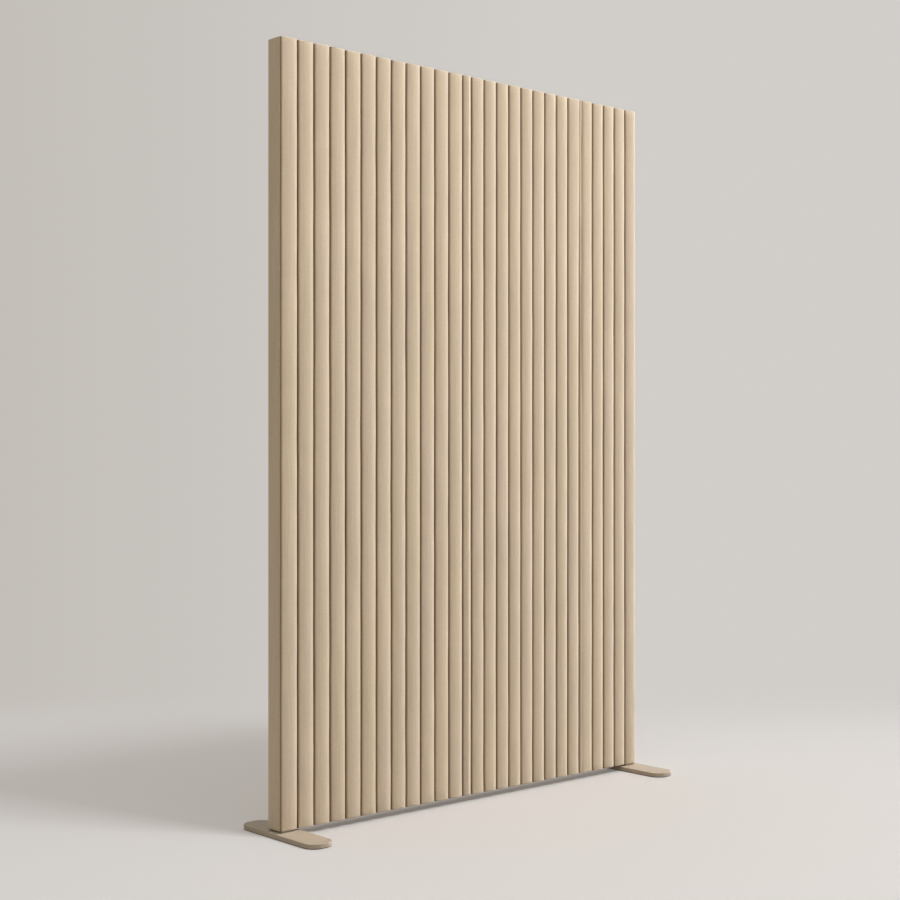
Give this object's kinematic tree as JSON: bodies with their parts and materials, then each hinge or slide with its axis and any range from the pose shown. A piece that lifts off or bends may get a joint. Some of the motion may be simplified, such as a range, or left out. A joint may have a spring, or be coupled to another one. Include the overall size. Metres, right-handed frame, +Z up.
{
  "type": "fluted wall partition",
  "caption": "Free-standing fluted wall partition: a tall upholstered panel of vertical padded channels on two flat round-ended steel feet that swivel under its ends.",
  "frame": {"origin": "on the floor, in the middle of the panel's width and of the feet's length (the middle of the base of the whole part's box)", "axes": "+X along the panel to its right end as seen from the front, -Y the fluted front, +Z up"},
  "size_m": [1.246, 0.286, 1.845],
  "materials": {
    "channel_fabric": "matt woven upholstery, warm beige, over foam channels",
    "end_fabric": "the same woven upholstery drawn flat over thin foam",
    "back_fabric": "plain woven lining, warm beige, hemmed and stapled",
    "board": "raw plywood board",
    "timber": "planed softwood",
    "dowel": "beech dowel",
    "screw_steel": "yellow zinc-plated screw",
    "foot_paint": "matt powder coat, warm beige",
    "packer_paint": "matt powder coat, warm beige",
    "sole_rubber": "black non-slip rubber sheet",
    "bolt_steel": "bright zinc-plated steel",
    "insert_brass": "plain turned brass insert"
  },
  "bodies": {
    "panel": {"flute_01": "channel_fabric", "flute_02": "channel_fabric", "flute_03": "channel_fabric", "flute_04": "channel_fabric", "flute_05": "channel_fabric", "flute_06": "channel_fabric", "flute_07": "channel_fabric", "flute_08": "channel_fabric", "flute_09": "channel_fabric", "flute_10": "channel_fabric", "flute_11": "channel_fabric", "flute_12": "channel_fabric", "flute_13": "channel_fabric", "flute_14": "channel_fabric", "flute_15": "channel_fabric", "flute_16": "channel_fabric", "flute_17": "channel_fabric", "flute_18": "channel_fabric", "flute_19": "channel_fabric", "flute_20": "channel_fabric", "flute_21": "channel_fabric", "flute_22": "channel_fabric", "flute_23": "channel_fabric", "flute_24": "channel_fabric", "flute_25": "channel_fabric", "flute_26": "channel_fabric", "flute_27": "channel_fabric", "left_end_cover": "end_fabric", "right_end_cover": "end_fabric", "top_cover": "end_fabric", "bottom_cover": "end_fabric", "back_cover": "back_fabric", "front_board": "board", "back_board": "board", "left_stile": "timber", "right_stile": "timber", "centre_stud": "timber", "bottom_rail": "timber", "top_rail": "timber", "cross_rail_1_left": "timber", "cross_rail_1_right": "timber", "cross_rail_2_left": "timber", "cross_rail_2_right": "timber", "frame_dowels": "dowel", "back_board_screws": "screw_steel", "left_packer": "packer_paint", "left_pivot_bolt": "bolt_steel", "left_spring_washer": "bolt_steel", "left_threaded_insert": "insert_brass", "right_packer": "packer_paint", "right_pivot_bolt": "bolt_steel", "right_spring_washer": "bolt_steel", "right_threaded_insert": "insert_brass"},
    "left_foot": {"left_foot_plate": "foot_paint", "left_foot_sole": "sole_rubber"},
    "right_foot": {"right_foot_plate": "foot_paint", "right_foot_sole": "sole_rubber"}
  },
  "joints": [
    {"name": "left_foot_swivel", "type": "hinge", "parent": "panel", "child": "left_foot", "pos_m": [-0.587, 0.026, 0.012], "axis": [0, 0, 1], "range_deg": [-90, 90]},
    {"name": "right_foot_swivel", "type": "hinge", "parent": "panel", "child": "right_foot", "pos_m": [0.587, 0.026, 0.012], "axis": [0, 0, 1], "range_deg": [-90, 90]}
  ]
}
